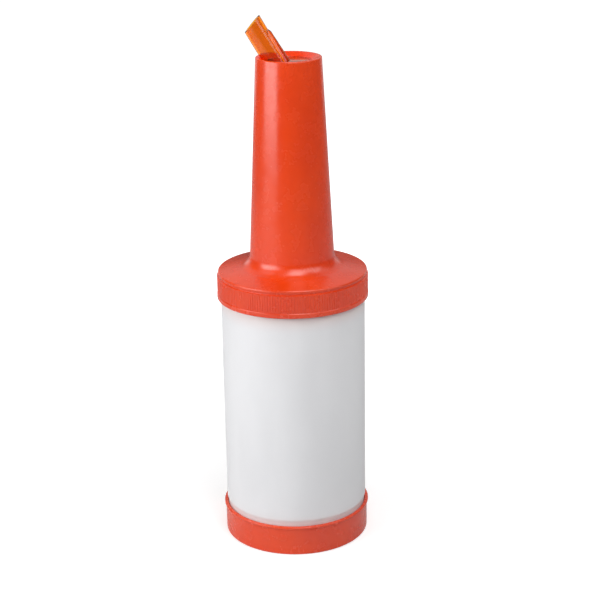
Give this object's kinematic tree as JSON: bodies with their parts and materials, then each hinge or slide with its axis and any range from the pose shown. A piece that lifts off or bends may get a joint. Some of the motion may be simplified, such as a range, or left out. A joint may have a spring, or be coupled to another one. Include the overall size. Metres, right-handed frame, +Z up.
{
  "type": "speed pour bottle",
  "caption": "Plastic speed pour bottle: a milky bottle in a snug base cap, under a ribbed screw collar with a long tapered neck and a slanted clear pour tube.",
  "frame": {"origin": "centre of the base cap's underside, on the bottle's axis", "axes": "+Z up along the bottle and its neck; the pour tube leans towards -X; the left and right of that lean are mirror images across the XZ plane"},
  "size_m": [0.0954, 0.0954, 0.3362],
  "materials": {
    "base_cap_plastic": "satin orange polyethylene",
    "bottle_plastic": "milky translucent polyethylene with a faint sheen",
    "neck_plastic": "satin orange polyethylene",
    "spout_plastic": "clear amber plastic"
  },
  "bodies": {
    "root": {"base_cap": "base_cap_plastic", "bottle": "bottle_plastic", "neck": "neck_plastic", "spout": "spout_plastic"}
  },
  "joints": []
}
